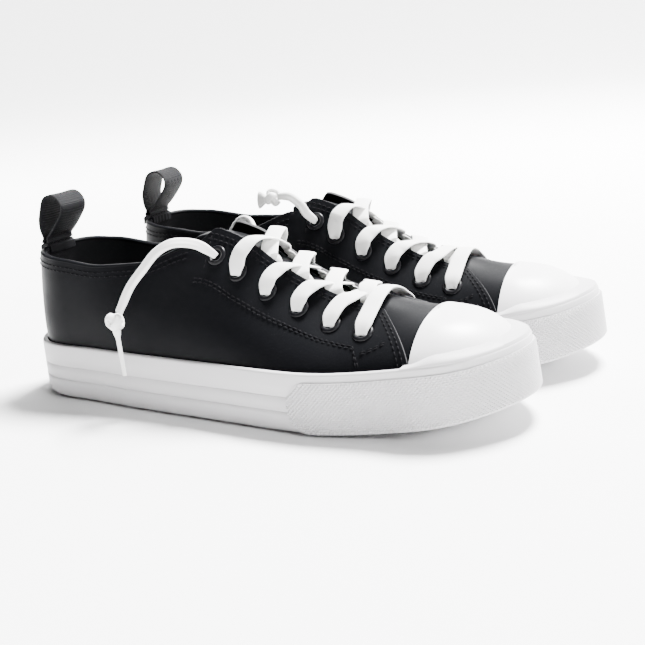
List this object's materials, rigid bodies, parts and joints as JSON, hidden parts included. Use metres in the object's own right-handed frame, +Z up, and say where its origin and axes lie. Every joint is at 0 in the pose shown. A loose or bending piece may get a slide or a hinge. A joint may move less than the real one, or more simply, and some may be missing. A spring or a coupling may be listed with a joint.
{
  "type": "cheer shoes",
  "caption": "Pair of low black lace-up cheer shoes with thick white rubber soles, a knurled white toe bumper, smooth white toe caps, flat white laces and heel pull loops.",
  "frame": {"origin": "centre of the pair's footprint, on the floor the soles rest on", "axes": "+X towards the toes of the right shoe, +Y towards the wearer's left, +Z up"},
  "size_m": [0.2879, 0.1889, 0.1066],
  "materials": {
    "sole_rubber": "matte white, moulded",
    "cap_rubber": "smooth satin white",
    "midsole_foam": "matt foam board",
    "faux_leather": "matt smooth black with a fine grain",
    "lining_textile": "matt black knit",
    "loop_tape": "matt black woven tape",
    "eyelet_enamel": "semi-gloss black enamel",
    "lace_cotton": "flat white weave"
  },
  "bodies": {
    "right_shoe": {"right_outsole": "sole_rubber", "right_midsole": "midsole_foam", "right_foxing": "sole_rubber", "right_toe_bumper": "sole_rubber", "right_toe_welt": "sole_rubber", "right_toe_cap": "cap_rubber", "right_vamp": "faux_leather", "right_quarter_lateral": "faux_leather", "right_quarter_medial": "faux_leather", "right_back_stay": "faux_leather", "right_collar_binding": "faux_leather", "right_lining": "lining_textile", "right_footbed": "lining_textile", "right_loop_anchor": "loop_tape", "right_eyelets_lateral": "eyelet_enamel", "right_eyelets_medial": "eyelet_enamel", "right_lace": "lace_cotton", "right_lace_end_lateral": "lace_cotton", "right_knot_lateral": "lace_cotton", "right_tip_lateral": "lace_cotton", "right_lace_end_medial": "lace_cotton", "right_knot_medial": "lace_cotton", "right_tip_medial": "lace_cotton"},
    "right_tongue_flap": {"right_tongue": "faux_leather"},
    "right_heel_loop": {"right_pull_loop": "loop_tape"},
    "left_shoe": {"left_outsole": "sole_rubber", "left_midsole": "midsole_foam", "left_foxing": "sole_rubber", "left_toe_bumper": "sole_rubber", "left_toe_welt": "sole_rubber", "left_toe_cap": "cap_rubber", "left_vamp": "faux_leather", "left_quarter_lateral": "faux_leather", "left_quarter_medial": "faux_leather", "left_back_stay": "faux_leather", "left_collar_binding": "faux_leather", "left_lining": "lining_textile", "left_footbed": "lining_textile", "left_loop_anchor": "loop_tape", "left_eyelets_lateral": "eyelet_enamel", "left_eyelets_medial": "eyelet_enamel", "left_lace": "lace_cotton", "left_lace_end_lateral": "lace_cotton", "left_knot_lateral": "lace_cotton", "left_tip_lateral": "lace_cotton", "left_lace_end_medial": "lace_cotton", "left_knot_medial": "lace_cotton", "left_tip_medial": "lace_cotton"},
    "left_tongue_flap": {"left_tongue": "faux_leather"},
    "left_heel_loop": {"left_pull_loop": "loop_tape"}
  },
  "joints": [
    {"name": "left_lift", "type": "slide", "parent": "right_shoe", "child": "left_shoe", "axis": [0, 0, 1], "range_m": [0, 0.2]},
    {"name": "right_tongue_hinge", "type": "hinge", "parent": "right_shoe", "child": "right_tongue_flap", "pos_m": [0.06405, -0.0434, 0.0475], "axis": [0, 1, 0], "range_deg": [-5, 0], "stiffness_Nm_per_rad": 1},
    {"name": "right_loop_hinge", "type": "hinge", "parent": "right_shoe", "child": "right_heel_loop", "pos_m": [-0.13495, -0.0474, 0.0806], "axis": [0, 1, 0], "range_deg": [-12, 20], "stiffness_Nm_per_rad": 0.05},
    {"name": "left_tongue_hinge", "type": "hinge", "parent": "left_shoe", "child": "left_tongue_flap", "pos_m": [0.07017, 0.04521, 0.0475], "axis": [-0.0698, 0.9976, 0], "range_deg": [-5, 0], "stiffness_Nm_per_rad": 1},
    {"name": "left_loop_hinge", "type": "hinge", "parent": "left_shoe", "child": "left_heel_loop", "pos_m": [-0.12863, 0.03532, 0.0806], "axis": [-0.0698, 0.9976, 0], "range_deg": [-12, 20], "stiffness_Nm_per_rad": 0.05}
  ]
}
